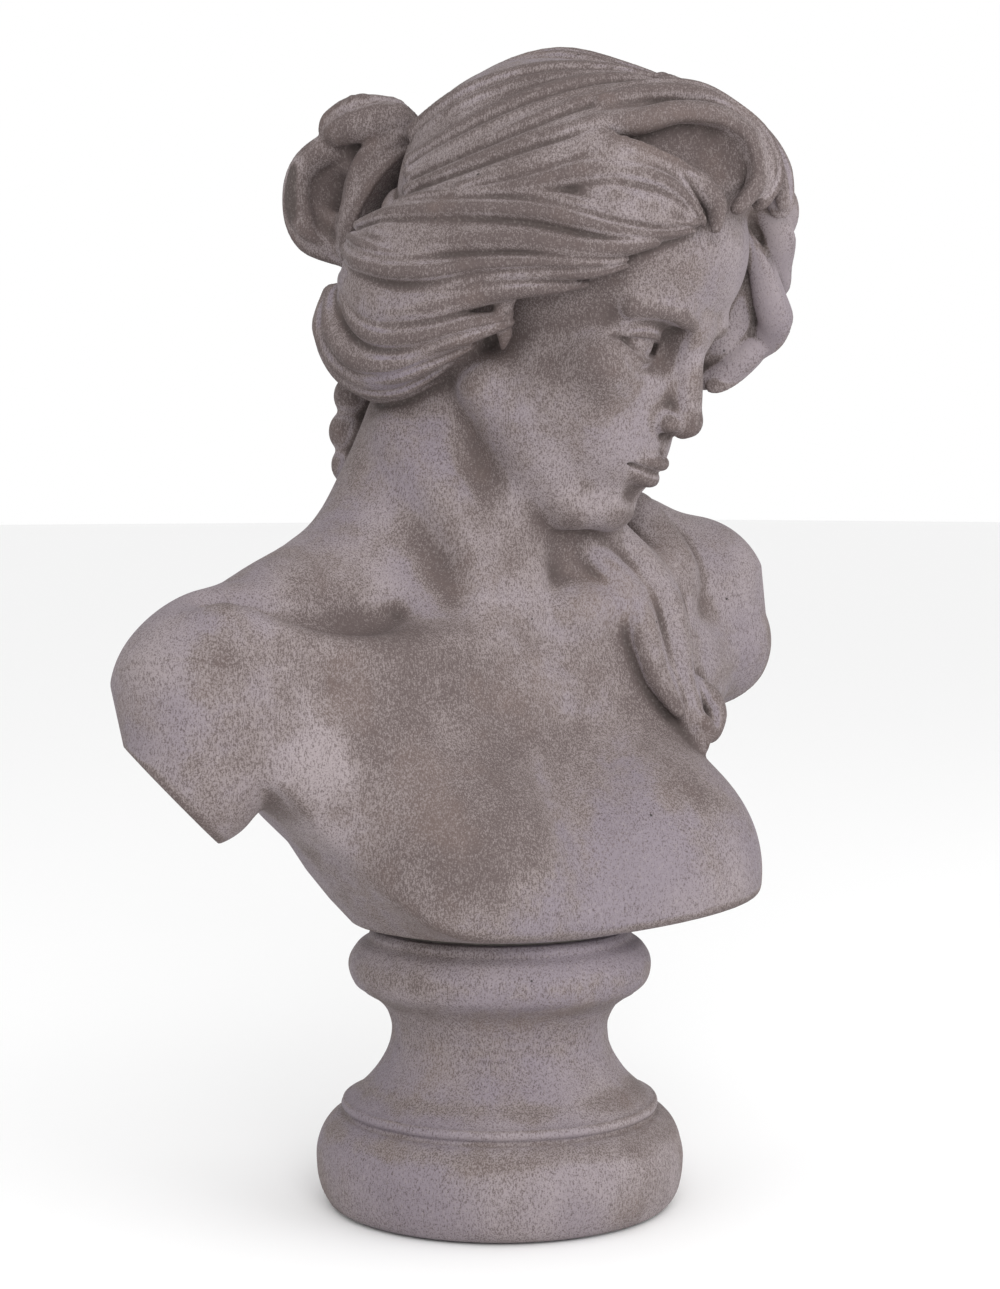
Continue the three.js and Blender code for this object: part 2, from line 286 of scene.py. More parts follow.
def mesh_object(name, points, faces):
    """A smooth-shaded object from points in millimetres and four-cornered faces."""
    mesh = bpy.data.meshes.new(name)
    mesh.vertices.add(len(points))
    mesh.vertices.foreach_set("co", (points * MM).astype(np.float32).ravel())
    mesh.loops.add(faces.size)
    mesh.loops.foreach_set("vertex_index", faces.astype(np.int32).ravel())
    mesh.polygons.add(len(faces))
    mesh.polygons.foreach_set("loop_start", np.arange(0, faces.size, 4, dtype=np.int32))
    mesh.polygons.foreach_set("use_smooth", np.ones(len(faces), bool))
    mesh.update(calc_edges=True)
    mesh.validate()
    obj = bpy.data.objects.new(name, mesh)
    scene.collection.objects.link(obj)
    return obj


def keep_value(obj, name, values):
    """Stores one number per point on the mesh for its material to read."""
    obj.data.attributes.new(name, "FLOAT", "POINT").data.foreach_set("value", values.astype(np.float32))


def ripple(points, wavelength, seed):
    """A slow random swell between -1 and 1, as a sum of waves in random directions."""
    rng = np.random.default_rng(seed)
    total = np.zeros(len(points))
    for _ in range(10):
        direction = rng.normal(size=3)
        direction /= np.linalg.norm(direction)
        pitch = wavelength * rng.uniform(0.7, 1.6)
        total += np.sin(points @ direction * 2 * np.pi / pitch + rng.uniform(0, 6.3))
    return total / 4


profile, outside_count = socle_profile()
socle = turned_mesh("socle_stone", profile)
points = np.empty(len(socle.data.vertices) * 3, np.float32)
socle.data.vertices.foreach_get("co", points)
points = points.reshape(-1, 3).astype(float) / MM

# Rubbing by hand has left the turned outside a little uneven.
ring = np.repeat(np.arange(len(profile)), SOCLE_SIDES)
shown = (ring > 2) & (ring < outside_count - 2)
radial = np.hypot(points[:, 0], points[:, 1])
swell = np.where(shown, 0.32 * ripple(points, 46, 3) + 0.14 * ripple(points, 13, 4), 0)
points[:, :2] *= (1 + swell / radial)[:, None]
socle.data.vertices.foreach_set("co", (points * MM).astype(np.float32).ravel())
socle.data.update()

# How hollow or proud the turned outline is at each ring, from its own curve.
outline = np.array(profile[:outside_count])
hollow = np.zeros(len(profile))
wide_hollow = np.zeros(len(profile))
FINE_SPAN = 4.0
BROAD_SPAN = 12.0
for i in range(1, outside_count - 1):
    for span, into in ((FINE_SPAN, hollow), (BROAD_SPAN, wide_hollow)):
        near = np.linalg.norm(outline - outline[i], axis=1)
        before = outline[:i + 1][near[:i + 1] <= span][0]
        after = outline[i:][near[i:] <= span][-1]
        along = after - before
        outward = np.array([along[1], -along[0]]) / (np.linalg.norm(along) + 1e-6)
        into[i] = ((before + after) / 2 - outline[i]) @ outward / span
# How hollow each ring is, for the stone's wash and its painted shade in hollows and creases.
keep_value(socle, "fine_hollow", np.repeat(np.clip(hollow, -0.4, 0.18), SOCLE_SIDES))
keep_value(socle, "broad_hollow", np.repeat(wide_hollow * 1.1, SOCLE_SIDES))

# Brown lies in bands at set heights beside each moulding, and the thin ledge over the base is made paler.
# These go to the stone with its stain and painted light values.
stain_and_light = np.zeros(len(points))
for height, spread, strength in ((58, 5, 0.9), (49, 2.4, -1.4), (40, 6, 0.9), (103, 5, 0.7), (117, 6, 0.6)):
    stain_and_light += strength * np.exp(-((points[:, 2] - height) / spread) ** 2)
keep_value(socle, "stain", stain_and_light)


def build_stone_group():
    """Aged stone: a violet-grey ground under a brown wash that stays in hollows, on arrises and in drifts
    and is thin in given spots, painted shade in broad hollows and deepest creases, painted highlights where
    the wash is thin, a fine woven speckle left by the brush, and pinholes."""
    group = bpy.data.node_groups.new("aged_stone", "ShaderNodeTree")
    face = group.interface
    face.new_socket("Vector", in_out="INPUT", socket_type="NodeSocketVector")
    for name in ("Fine Hollow", "Broad Hollow", "Stain", "Wash"):
        face.new_socket(name, in_out="INPUT", socket_type="NodeSocketFloat")
    face.new_socket("Color", in_out="OUTPUT", socket_type="NodeSocketColor")
    face.new_socket("Roughness", in_out="OUTPUT", socket_type="NodeSocketFloat")
    face.new_socket("Height", in_out="OUTPUT", socket_type="NodeSocketFloat")
    into = group.nodes.new("NodeGroupInput").outputs
    out = group.nodes.new("NodeGroupOutput").inputs
    where = into["Vector"]

    def plus(first, second):
        return maths(group, "ADD", first, second)

    def times(first, second):
        return maths(group, "MULTIPLY", first, second)

    drift = noise(group, where, 11, 4, 0.6)
    cloud = noise(group, where, 38, 4, 0.65)
    grain = noise(group, where, 1400, 2, 0.7)
    speck = noise(group, where, 620, 1, 0.5)
    scratch = group.nodes.new("ShaderNodeMapping")
    scratch.inputs["Scale"].default_value = (1, 1, 0.3)
    group.links.new(where, scratch.inputs["Vector"])
    brushed = noise(group, scratch.outputs["Vector"], 1500, 1, 0.5)

    # How much brown wash there is: from the form (wash in fine hollows and on arrises, and painted shade in
    # broad hollows), slow drifts, clouds, and the stain and painted light values.
    arris = times(into["Fine Hollow"], -1.0)
    form = plus(ramp(group, into["Fine Hollow"], 0.05, 0.45), ramp(group, arris, 0.16, 0.5))
    # Painted shade, with wash: broad hollows take more brown, darker where shade falls in them.
    deep = ramp(group, into["Broad Hollow"], 0.04, 0.42)
    form = plus(times(form, 0.55), times(deep, 0.35))
    drifts = times(ramp(group, drift, 0.34, 0.70), 0.42)
    clouds = times(ramp(group, cloud, 0.34, 0.72), 0.26)
    amount = plus(plus(drifts, clouds), form)
    patchy = times(maths(group, "SUBTRACT", cloud, 0.5), 1.2)
    patchy = ramp(group, plus(into["Stain"], patchy), 0.1, 1.1)
    amount = plus(amount, times(patchy, 0.42))
    # Negative stain values thin the wash: partly thinner wash, partly painted highlights and painted light
    # in given spots.
    thinned_and_highlit = maths(group, "MINIMUM", into["Stain"], 0.0)
    amount = plus(amount, times(thinned_and_highlit, 0.5))
    amount = times(amount, into["Wash"])

    # The wash lies broken over the woven speckle of the surface.
    weave = plus(times(grain, 0.6), times(brushed, 0.4))
    broken = times(maths(group, "SUBTRACT", weave, 0.5), 8.0)
    wash = ramp(group, plus(amount, broken), -0.1, 1.2)

    blotch = ramp(group, noise(group, where, 7, 3), 0.38, 0.64)
    ground = mix(group, blotch, (0.205, 0.174, 0.197), (0.275, 0.235, 0.240))
    warm = ramp(group, amount, 0.15, 0.6)
    ground = mix(group, warm, ground, (0.240, 0.202, 0.199))
    rust = ramp(group, noise(group, where, 19, 4), 0.50, 0.72)
    brown = mix(group, rust, (0.054, 0.036, 0.033), (0.090, 0.060, 0.051))
    veil = times(ramp(group, amount, 0.15, 1.1), 0.3)
    colour = mix(group, veil, ground, brown)
    colour = mix(group, times(wash, 0.68), colour, brown)
    # Painted shade: the deepest creases are darkened nearly to black.
    dark = ramp(group, into["Fine Hollow"], 0.25, 0.75)
    colour = mix(group, times(dark, 0.5), colour, (0.042, 0.034, 0.030))
    pale = times(ramp(group, speck, 0.54, 0.74), 0.16)
    colour = mix(group, pale, colour, (0.36, 0.315, 0.30))

    holes = group.nodes.new("ShaderNodeTexVoronoi")
    holes.inputs["Scale"].default_value = 95
    group.links.new(where, holes.inputs["Vector"])
    rare = ramp(group, noise(group, where, 60, 2), 0.60, 0.66)
    pinhole = times(ramp(group, holes.outputs["Distance"], 0.09, 0.03), rare)
    colour = mix(group, pinhole, colour, (0.030, 0.026, 0.023))
    group.links.new(colour, out["Color"])

    rough = plus(times(wash, 0.1), 0.8)
    group.links.new(rough, out["Roughness"])
    height = plus(times(grain, 0.5), times(brushed, 0.35))
    height = plus(height, times(speck, 0.5))
    height = maths(group, "SUBTRACT", height, times(pinhole, 2.0))
    group.links.new(height, out["Height"])
    return group


stone_group = build_stone_group()


def stone_material(name, wash):
    """Stone with so much brown wash."""
    material, tree, shader = new_material(name)
    node = tree.nodes.new("ShaderNodeGroup")
    node.node_tree = stone_group
    tree.links.new(texture_space(tree), node.inputs["Vector"])
    for socket in ("Fine Hollow", "Broad Hollow", "Stain"):
        stored = tree.nodes.new("ShaderNodeAttribute")
        stored.attribute_name = socket.lower().replace(" ", "_")
        tree.links.new(stored.outputs["Fac"], node.inputs[socket])
    node.inputs["Wash"].default_value = wash
    tree.links.new(node.outputs["Color"], shader.inputs["Base Color"])
    tree.links.new(node.outputs["Roughness"], shader.inputs["Roughness"])
    shader.inputs["Specular IOR Level"].default_value = 0.3
    bump(tree, shader, node.outputs["Height"], 0.5, 0.0007)
    return material


socle.data.materials.append(stone_material("socle_stone", 0.9))
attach(socle, "root")
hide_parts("socle")

# ---- setting bed and grout ----
# The bust is bedded on the collar in a thin ring of setting mortar, which shows as a dark
# joint, and the rod is bonded in the bust's bore with a sleeve of the same resin mortar.
mortar, tree, shader = new_material("setting_mortar")
where = texture_space(tree)
sand = noise(tree, where, 800, 4, 0.7)
damp = ramp(tree, noise(tree, where, 60, 3), 0.35, 0.7)
tree.links.new(mix(tree, damp, (0.11, 0.095, 0.085), (0.18, 0.165, 0.15)), shader.inputs["Base Color"])
shader.inputs["Roughness"].default_value = 0.95
bump(tree, shader, sand, 0.7, 0.0008)
for name in ("setting_bed", "rod_grout"):
    wear(name, mortar)

# ---- bust ----
# One block of the same stone: chest, shoulders with the arms cut off short, neck, head and
# hair. It is carved whole, hollowed behind and below the chest, and bored for the rod.
PITCH = 1.15
bust_low, bust_high = (np.array(corner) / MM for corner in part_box("bust"))
seat_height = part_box("setting_bed")[1][2] / MM + GAP
SEAT_RADIUS = 67
BORE_RADIUS = 12.3
BORE_TOP = 220.5
MARGIN = 6
FINE_REACH = 3.2
BROAD_REACH = 11.0
HEAD_MIDDLE = np.array((42.0, 12.0, 446.0))
HEAD_SCALE = 0.92


def turning(axis, degrees):
    """A turn about one axis, 0 for x, 1 for y and 2 for z, as a matrix."""
    c, s = math.cos(math.radians(degrees)), math.sin(math.radians(degrees))
    turn = np.eye(3)
    a, b = ((1, 2), (2, 0), (0, 1))[axis]
    turn[a, a] = turn[b, b] = c
    turn[b, a], turn[a, b] = s, -s
    return turn


class Place:
    """A frame that shapes are given in: a turn, a scale and an origin, in the bust's frame."""

    def __init__(self, origin=(0, 0, 0), turn=None, scale=1.0):
        self.origin = np.array(origin, float)
        self.turn = np.eye(3) if turn is None else turn
        self.scale = scale

    def out(self, point):
        """A point of this frame, in the bust's."""
        return self.turn @ (np.array(point, float) * self.scale) + self.origin

    def into(self, x, y, z):
        """Coordinates in the bust's frame, in this one."""
        rows = (self.turn.T / self.scale).astype(np.float32)
        shift = rows @ self.origin.astype(np.float32)
        return [rows[i, 0] * x + rows[i, 1] * y + rows[i, 2] * z - shift[i] for i in range(3)]

    def box(self, low, high):
        """The corners, in the bust's frame, of a box given in this one."""
        corners = [self.out((a, b, c)) for a in (low[0], high[0]) for b in (low[1], high[1])
                   for c in (low[2], high[2])]
        return np.min(corners, 0), np.max(corners, 0)


BODY = Place()
HEAD = Place(HEAD_MIDDLE, turning(2, 22) @ turning(0, 25) @ turning(1, 4), HEAD_SCALE)
FAR = 90.0


class Block:
    """Stone as a grid of distances to its surface, in millimetres, that tools add to and cut."""

    def __init__(self, low, high, pitch):
        self.low = np.array(low, float)
        self.pitch = pitch
        size = np.ceil((np.array(high) - self.low) / pitch).astype(int) + 1
        self.field = np.full(size, FAR, np.float32)

    def part(self, low, high):
        """The cells between two corners, and their coordinates as three thin arrays."""
        first = np.clip(np.floor((low - self.low) / self.pitch), 0, self.field.shape).astype(int)
        last = np.clip(np.ceil((high - self.low) / self.pitch) + 1, 0, self.field.shape).astype(int)
        axes = [(self.low[i] + self.pitch * np.arange(first[i], last[i])).astype(np.float32)
                for i in range(3)]
        return tuple(slice(a, b) for a, b in zip(first, last)), np.ix_(*axes)

    def measure(self, shapes, low, high, soften):
        """The distance to the nearest of some shapes, over one part of the grid."""
        cells, _ = self.part(low, high)
        near = np.full([s.stop - s.start for s in cells], FAR, np.float32)
        for distance, place, shape_low, shape_high in shapes:
            corner, far_corner = place.box(shape_low, shape_high)
            reach = soften + 4 * self.pitch
            inner, (x, y, z) = self.part(np.maximum(corner - reach, low),
                                         np.minimum(far_corner + reach, high))
            if min(s.stop - s.start for s in inner) <= 0:
                continue
            found = distance(*place.into(x, y, z)) * place.scale
            local = tuple(slice(s.start - c.start, s.stop - c.start) for s, c in zip(inner, cells))
            near[local] = np.minimum(near[local], found)
        return cells, near

    def reach_of(self, shapes, soften):
        """The corners of a box round some shapes and their fillet."""
        corners = [place.box(low, high) for _, place, low, high in shapes]
        low = np.min([c[0] for c in corners], 0) - soften - 4 * self.pitch
        high = np.max([c[1] for c in corners], 0) + soften + 4 * self.pitch
        return low, high

    def add(self, shapes, soften=1.0):
        """Joins the shapes on, with a fillet about as wide as soften."""
        cells, near = self.measure(shapes, *self.reach_of(shapes, soften), soften)
        old = self.field[cells]
        blend = np.maximum(soften - np.abs(old - near), 0) / soften
        self.field[cells] = np.minimum(old, near) - blend * blend * (soften / 4)

    def cut(self, shapes, soften=1.0):
        """Cuts the shapes out, with the arris eased by about soften."""
        cells, near = self.measure(shapes, *self.reach_of(shapes, soften), soften)
        old = self.field[cells]
        blend = np.maximum(soften - np.abs(old + near), 0) / soften
        self.field[cells] = np.maximum(old, -near) + blend * blend * (soften / 4)

    def cut_where(self, inside, soften=1.0):
        """Cuts away everything where a function of the coordinates is positive."""
        _, (x, y, z) = self.part(self.low, self.low + self.pitch * np.array(self.field.shape))
        near = inside(x, y, z)
        blend = np.maximum(soften - np.abs(self.field - near), 0) / soften
        self.field = np.maximum(self.field, near) + blend * blend * (soften / 4)

    def carve_mesh(self, name, stains):
        """The surface as an object, with how hollow it is at each point, and its stain and painted light:
        brown stains, painted shade and painted highlights. Each spot is a centre, a reach and a strength."""
        grid = openvdb.FloatGrid(background=3.0)
        grid.copyFromArray(np.clip(self.field / self.pitch, -3, 3))
        points, faces = grid.convertToQuads(isovalue=0.0)
        points = points.astype(float)
        faces = faces[:, ::-1]
        places = points * self.pitch + self.low
        obj = mesh_object(name, places, faces)
        solid = np.clip(0.5 - self.field / self.pitch, 0, 1)
        # How hollow the surface is, at a fine and a broad reach, for the stone's wash and its painted shade
        # in hollows and creases.
        for attribute, reach in (("fine_hollow", FINE_REACH), ("broad_hollow", BROAD_REACH)):
            keep_value(obj, attribute, (sampled(blurred(solid, reach / self.pitch), points) - 0.5) * 4)
        stain_and_light = np.zeros(len(points))
        for centre, spread, strength in stains:
            stain_and_light += strength * np.exp(-np.sum(((places - centre) / spread) ** 2, axis=1))
        keep_value(obj, "stain", stain_and_light)
        return obj


def blurred(values, reach):
    """A soft mean over a cube about 2 * reach wide, by two running means along each axis."""
    width = max(int(round(reach)), 1)
    for axis in range(3):
        for _ in range(2):
            padding = [(0, 0)] * 3
            padding[axis] = (width + 1, width)
            total = np.cumsum(np.pad(values, padding, mode="edge"), axis=axis, dtype=np.float64)
            count = values.shape[axis]
            upper = np.take(total, np.arange(count) + 2 * width + 1, axis=axis)
            lower = np.take(total, np.arange(count), axis=axis)
            values = ((upper - lower) / (2 * width + 1)).astype(np.float32)
    return values


def sampled(values, points):
    """The values at points in cell coordinates, mixed from the eight cells about each."""
    base = np.clip(np.floor(points).astype(int), 0, np.array(values.shape) - 2)
    part = points - base
    total = np.zeros(len(points))
    for corner in np.ndindex(2, 2, 2):
        share = np.prod(np.where(corner, part, 1 - part), axis=1)
        total += share * values[tuple((base + corner).T)]
    return total


def dot(x, y, z, way):
    return x * way[0] + y * way[1] + z * way[2]


def to_ellipsoid(x, y, z, a, b, c):
    """About the distance to an ellipsoid with these half-axes, negative inside."""
    first = np.sqrt((x / a) ** 2 + (y / b) ** 2 + (z / c) ** 2) + 1e-6
    second = np.sqrt((x / a ** 2) ** 2 + (y / b ** 2) ** 2 + (z / c ** 2) ** 2) + 1e-9
    return first * (first - 1) / second


def oval(centre, radii, turn=(0, 0, 0), place=BODY):
    """An ellipsoid with its half-axes turned by degrees about x, y and z."""
    own_turn = place.turn @ turning(0, turn[0]) @ turning(1, turn[1]) @ turning(2, turn[2])
    own = Place(place.out(centre), own_turn, place.scale)
    reach = np.array(radii, float)
    return [(lambda x, y, z: to_ellipsoid(x, y, z, *radii), own, -reach, reach)]


def head_oval(centre, radii, turn=(0, 0, 0)):
    return oval(centre, radii, turn, HEAD)


def limb(start, start_radius, end, end_radius, place=BODY):
    """A round bar between two points that tapers from one radius to another."""
    a, b = np.array(start, float), np.array(end, float)
    along = b - a
    square = along @ along
    widest = max(start_radius, end_radius)

    def distance(x, y, z):
        share = np.clip(dot(x - a[0], y - a[1], z - a[2], along) / square, 0, 1)
        across = np.sqrt((x - a[0] - share * along[0]) ** 2 + (y - a[1] - share * along[1]) ** 2
                         + (z - a[2] - share * along[2]) ** 2)
        return across - start_radius - (end_radius - start_radius) * share

    return [(distance, place, np.minimum(a, b) - widest, np.maximum(a, b) + widest)]


def sweep(points, radii, place=BODY):
    """A bent round bar through some points, with its radius eased between the given ones."""
    path = np.array(eased(points, 4))
    sizes = np.interp(np.linspace(0, 1, len(path)), np.linspace(0, 1, len(radii)), radii)
    shapes = []
    for i in range(len(path) - 1):
        shapes += limb(path[i], sizes[i], path[i + 1], sizes[i + 1], place)
    return shapes


def flat_cut(point, normal):
    """Positive on the side of a plane that its normal points to."""
    point = np.array(point, float)
    normal = np.array(normal, float) / np.linalg.norm(normal)
    return lambda x, y, z: dot(x - point[0], y - point[1], z - point[2], normal)


def trimmed(shapes, cut):
    """The same shapes, given in the body's frame, without what lies where cut is positive."""
    def both_distances(first):
        return lambda x, y, z: np.maximum(first(x, y, z), cut(x, y, z))

    return [(both_distances(first), place, low, high) for first, place, low, high in shapes]


def both(make):
    """The same shapes on the figure's right and left: make(side) with side -1 and 1."""
    return make(-1) + make(1)


def add_lock(points, widths, heights, furrows, depth, twist, middle=(0, 10, 30), place=HEAD,
             lift=0.0, fillet=2.2):
    """Joins on a lock of hair: an oval bar with furrows down its length, and its top through the
    points. It faces away from middle. twist carries the furrows across it, in furrows, over its
    length. lift raises the whole lock."""
    path = np.array(eased(points, 5))
    count = len(path)
    share = np.linspace(0, 1, count)
    wide = np.interp(share, np.linspace(0, 1, len(widths)), widths)
    high = np.interp(share, np.linspace(0, 1, len(heights)), heights)
    along = np.gradient(path, axis=0)
    along /= np.linalg.norm(along, axis=1)[:, None]
    outward = path - np.array(middle, float)
    outward -= np.sum(outward * along, 1)[:, None] * along
    outward /= np.linalg.norm(outward, axis=1)[:, None]
    side = np.cross(along, outward)
    path = path - outward * (high[:, None] - lift)
    shapes = []
    for i in range(count - 1):
        pair = slice(i, i + 2)
        shapes.append(lock_link(path[pair], wide[pair], high[pair], side[pair], outward[pair],
                                share[pair], furrows, depth, twist, place))
    block.add(shapes, fillet)


def lock_link(ends, wide, high, side, outward, share, furrows, depth, twist, place):
    """One straight link of a lock, from its half-widths, heights and directions at both ends."""
    a = ends[0]
    step = ends[1] - a
    square = step @ step
    length = math.sqrt(square)

    def distance(x, y, z):
        x, y, z = x - a[0], y - a[1], z - a[2]
        raw = dot(x, y, z, step) / square
        t = np.clip(raw, 0, 1)
        over = (raw - t) * length
        x, y, z = x - step[0] * t, y - step[1] * t, z - step[2] * t
        across = dot(x, y, z, side[0]) * (1 - t) + dot(x, y, z, side[1]) * t
        up = dot(x, y, z, outward[0]) * (1 - t) + dot(x, y, z, outward[1]) * t
        w = wide[0] + (wide[1] - wide[0]) * t
        h = high[0] + (high[1] - high[0]) * t
        near = to_ellipsoid(across, up, over, w, h, h)
        turn = (across / w + 1) * (furrows / 2) + twist * (share[0] + (share[1] - share[0]) * t)
        groove = 0.5 + 0.5 * np.cos(2 * np.pi * turn)
        return near + depth * groove * groove * np.clip(h / high.max(), 0.2, 1)

    reach = np.maximum(wide.max(), high.max())
    return distance, place, np.min(ends, 0) - reach, np.max(ends, 0) + reach


block = Block(bust_low - MARGIN, bust_high + MARGIN, PITCH)


def carve_trunk():
    """Rib cage, chest, back and breasts, joined in broad soft passages."""
    block.add(oval((-2, 46, 222), (122, 78, 98), (-8, 0, 0)), 20)
    block.add(oval((28, -14, 152), (84, 64, 58), (0, 0, 2)), 30)
    block.add(oval((-82, 18, 228), (70, 40, 46), (0, -8, 8))
              + oval((86, 12, 246), (68, 40, 48), (0, -16, -8)), 30)
    block.add(oval((-76, 84, 228), (60, 34, 64), (8, 0, -14))
              + oval((78, 84, 242), (60, 34, 64), (8, 0, 14)), 34)
    block.add(sweep([(-14, 68, 326), (-66, 56, 298), (-98, 49, 285), (-130, 42, 270)],
                    (30, 28, 29, 31)), 30)
    block.add(sweep([(24, 66, 338), (74, 54, 328), (120, 40, 317)], (28, 28, 30)), 30)
    block.add(oval((-50, -18, 166), (48, 50, 54), (0, 0, 14)), 36)
    block.add(oval((68, -30, 160), (60, 53, 60), (0, 0, -12)), 34)
    block.add(oval((66, 8, 290), (50, 22, 30), (0, -12, 0)), 24)


def carve_shoulders():
    """Both arms end just below the shoulder, in a flat face turned down and out."""
    right_arm = limb((-146, 35, 252), 45.5, (-160, 24, 216), 31)
    block.add(trimmed(right_arm, flat_cut((-181, 26, 217), (-0.63, 0.335, -0.68))), 18)
    left_arm = limb((157, 33, 291), 44, (164, 26, 268), 36)
    block.add(trimmed(left_arm, flat_cut((170, 30, 241), (0.62, 0.1, -0.78))), 18)


def carve_neck():
    """The column of the neck, its long muscles, the collar bones and the hollows by them."""
    block.add(sweep([(-2, 66, 262), (4, 60, 326), (14, 54, 372), (30, 40, 408)], (50, 47, 46, 46)), 26)
    block.add(sweep([(0, 10, 288), (8, 8, 330), (20, 4, 358)], (13, 15, 18)), 16)
    block.add(sweep([(-150, 14, 286), (-118, -2, 276), (-84, -10, 270), (-40, -10, 270), (-14, -4, 277)],
                    (7, 7, 8, 8, 8)), 18)
    block.add(sweep([(14, -2, 286), (58, -14, 292), (112, -2, 308)], (7, 6, 8)), 18)
    block.cut(sweep([(-150, 28, 298), (-118, 12, 293), (-84, 8, 289), (-58, 9, 290)], (2, 5, 5, 1)), 18)
    block.add(sweep([(-15, -3, 281), (-13, 5, 312), (-19, 22, 345), (-26, 48, 378)], (8, 11, 11, 7)), 14)
    block.add(sweep([(6, -2, 288), (24, 4, 330), (46, 34, 376)], (7, 9, 8)), 14)
    block.cut(sweep([(0, -66, 214), (-2, -80, 176)], (3, 4)), 30)
    block.cut(sweep([(0, 140, 300), (-2, 146, 250), (0, 142, 190)], (5, 8, 5)), 26)


def carve_head():
    """The skull, and the planes of an even classical face: brow, cheekbones, jaw and chin."""
    block.add(head_oval((0, 5, 38), (74, 93, 78)), 12)
    block.add(head_oval((0, -45, 45), (62, 48, 50)), 12)
    block.add(head_oval((0, -42, -35), (56, 52, 66)), 14)
    block.add(both(lambda side: head_oval((42 * side, -66, -18), (18, 16, 15))), 14)
    block.add(both(lambda side: limb((50 * side, -12, -55), 14, (18 * side, -72, -94), 13, HEAD)), 14)
    block.add(head_oval((0, -82, -88), (19, 15, 14)), 10)
    block.add(head_oval((0, -78, -58), (30, 20, 24)), 12)
    block.add(both(lambda side: sweep([(7 * side, -89, 13), (28 * side, -86.5, 20), (48 * side, -71, 15)],
                                      (4, 5, 4), HEAD)), 12)


def carve_eyes():
    """Each eye is a ball in a shallow socket, under two thick lids that meet at the corners."""
    for side in (-1, 1):
        middle = np.array((31.0 * side, -69.0, -2.0))
        block.cut(head_oval(middle + (0, -18, 1), (20, 11, 12)), 8)
        block.cut(head_oval((16 * side, -87, 3), (4, 8, 10)), 8)
        block.add(head_oval(middle, (16, 15.6, 15.6)), 5)
        upper, lower = math.radians(24), math.radians(-19)
        reach = 19

        def opening(x, y, z, middle=middle):
            x, y, z = x - middle[0], y - middle[1], z - middle[2]
            top = z * math.cos(upper) + y * math.sin(upper)
            bottom = -z * math.cos(lower) - y * math.sin(lower)
            round_ball = np.sqrt(x * x * 0.9 + y * y + z * z) - reach
            return np.maximum(np.maximum(top, bottom), round_ball)

        block.cut([(opening, HEAD, middle - reach, middle + reach)], 0.8)
        block.add(head_oval(middle, (13.0, 12.4, 12.4)), 0.4)
        crease = [(14 * side, -80, 4), (21 * side, -86, 9.5), (31 * side, -88, 12), (42 * side, -81, 9),
                  (50 * side, -68, -2)]
        block.cut(sweep(crease, (0.8, 2.0, 2.2, 2.0, 0.6), HEAD), 3)
        block.cut(head_oval(middle + (0, -13.2, 1.0), (2.2, 1.8, 2.2)), 1.0)


def carve_nose_and_mouth():
    """A straight nose, and closed lips with a small hollow under the lower one."""
    block.add(sweep([(0, -87, 16), (0, -90, 4), (0, -97, -12), (0, -103, -27)],
                    (7.5, 6.8, 7.4, 8), HEAD), 9)
    block.add(head_oval((0, -105, -30.5), (6.6, 7.6, 6.8)), 5)
    block.add(both(lambda side: head_oval((9.5 * side, -95.5, -33.5), (5.2, 9.5, 5.6),
                                          (0, 0, 12 * side))), 5)
    block.add(head_oval((0, -99, -36.5), (3.6, 8, 3.2)), 3)
    block.cut(both(lambda side: head_oval((5.6 * side, -99.5, -40), (2.6, 4.6, 3.2))), 1.5)
    block.cut(limb((0, -101, -42), 2.4, (0, -101.5, -51), 2.8, HEAD), 3)
    upper_lip = [(-23, -86, -60.5), (-12, -95.5, -57.5), (-4, -99.5, -55.5), (0, -99.3, -56.5),
                 (4, -99.5, -55.5), (12, -95.5, -57.5), (23, -86, -60.5)]
    lower_lip = [(-20, -87, -62.5), (-10, -95, -65.5), (0, -97.5, -67), (10, -95, -65.5), (20, -87, -62.5)]
    block.add(sweep(upper_lip, (1.6, 3.4, 4.2, 4.0, 4.2, 3.4, 1.6), HEAD), 3)
    block.add(sweep(lower_lip, (1.8, 4.6, 5.2, 4.6, 1.8), HEAD), 3)
    mouth_line = [(-24, -88, -60.5), (-12, -98.5, -60.8), (0, -103, -61.5), (12, -98.5, -60.8),
                  (24, -88, -60.5)]
    block.cut(sweep(mouth_line, (0.9, 1.5, 1.7, 1.5, 0.9), HEAD), 1.6)
    block.cut(head_oval((0, -101, -77.5), (15, 8, 5.5)), 7)


